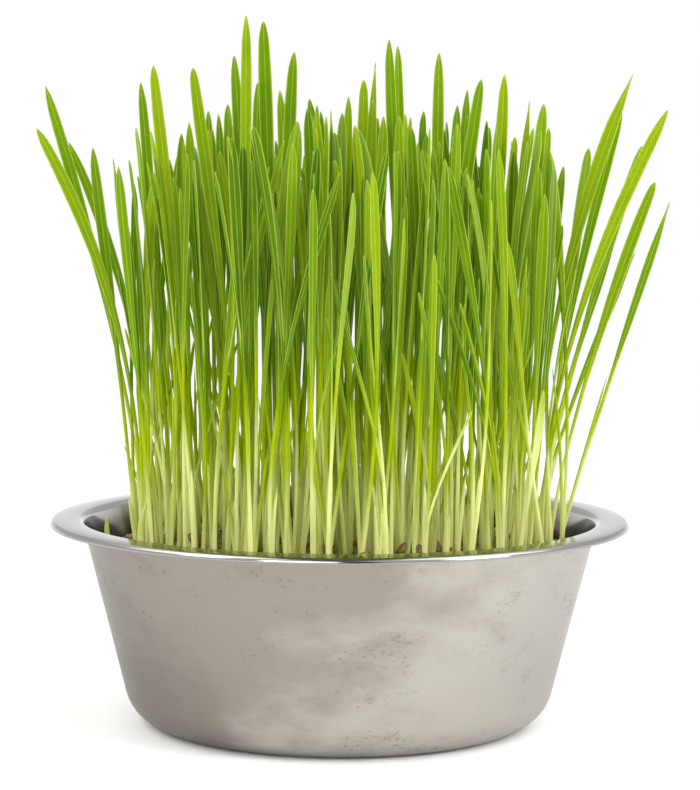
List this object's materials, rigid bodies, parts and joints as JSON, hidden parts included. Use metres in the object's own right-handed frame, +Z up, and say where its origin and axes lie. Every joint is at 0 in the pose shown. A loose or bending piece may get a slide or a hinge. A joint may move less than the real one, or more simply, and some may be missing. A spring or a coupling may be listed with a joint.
{
  "type": "wheatgrass bowl",
  "caption": "Dense stand of wheatgrass growing in a round flanged stainless steel bowl, free-standing, for kitchens, shops and gardens.",
  "frame": {"origin": "centre of the flat base that the bowl stands on", "axes": "+Z up along the bowl's axis towards the leaf tips, -Y towards the front of the picture"},
  "size_m": [0.206, 0.1953, 0.229],
  "materials": {
    "steel": "worn brushed stainless steel, warm grey with faint water marks",
    "compost": "damp dark growing medium",
    "wheatgrass": "fresh wheatgrass, pale at the foot and bright green above, with fine veins"
  },
  "bodies": {
    "root": {"bowl": "steel", "compost": "compost", "tuft_01": "wheatgrass", "tuft_02": "wheatgrass", "tuft_03": "wheatgrass", "tuft_04": "wheatgrass", "tuft_05": "wheatgrass", "tuft_06": "wheatgrass", "tuft_07": "wheatgrass", "tuft_08": "wheatgrass", "tuft_09": "wheatgrass", "tuft_10": "wheatgrass", "tuft_11": "wheatgrass", "tuft_12": "wheatgrass", "tuft_13": "wheatgrass", "tuft_14": "wheatgrass", "tuft_15": "wheatgrass", "tuft_16": "wheatgrass", "tuft_17": "wheatgrass", "tuft_18": "wheatgrass", "tuft_19": "wheatgrass"}
  },
  "joints": []
}
